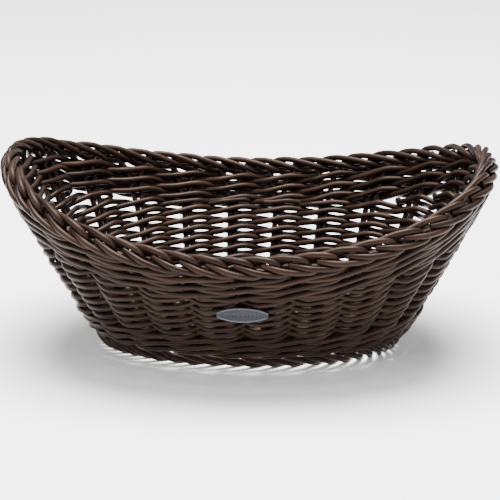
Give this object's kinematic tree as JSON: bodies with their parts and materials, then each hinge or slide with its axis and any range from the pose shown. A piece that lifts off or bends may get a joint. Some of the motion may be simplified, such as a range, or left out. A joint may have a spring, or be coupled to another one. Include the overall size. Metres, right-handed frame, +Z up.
{
  "type": "woven bread basket",
  "caption": "Oval bread basket with flared, openwork sides and raised ends, woven from dark brown round cord, with a plaited rim and a small oval metal tag.",
  "frame": {"origin": "on the ground under the middle of the base", "axes": "+X along the basket's length, +Y across it towards the back, +Z up; the tag is on the -Y side"},
  "size_m": [0.2802, 0.1972, 0.116],
  "materials": {
    "cord": "dark brown plastic rattan cord, satin, finely streaked",
    "tag": "grey satin metal"
  },
  "bodies": {
    "root": {"stakes_front": "cord", "stakes_back": "cord", "stakes_left": "cord", "stakes_right": "cord", "bottom_wale_1": "cord", "bottom_wale_2": "cord", "bottom_wale_3": "cord", "twined_row_1": "cord", "twined_row_2": "cord", "twined_row_3": "cord", "twined_row_4": "cord", "twined_row_5": "cord", "twined_row_6": "cord", "packed_left_1": "cord", "packed_left_2": "cord", "packed_left_3": "cord", "packed_left_4": "cord", "packed_right_1": "cord", "packed_right_2": "cord", "packed_right_3": "cord", "packed_right_4": "cord", "top_wale_1": "cord", "top_wale_2": "cord", "top_wale_3": "cord", "base_round": "cord", "base_cross_sticks": "cord", "base_end_sticks": "cord", "base_rows": "cord", "tag_plate": "tag", "tag_prongs": "tag", "tag_keeper": "tag"}
  },
  "joints": []
}
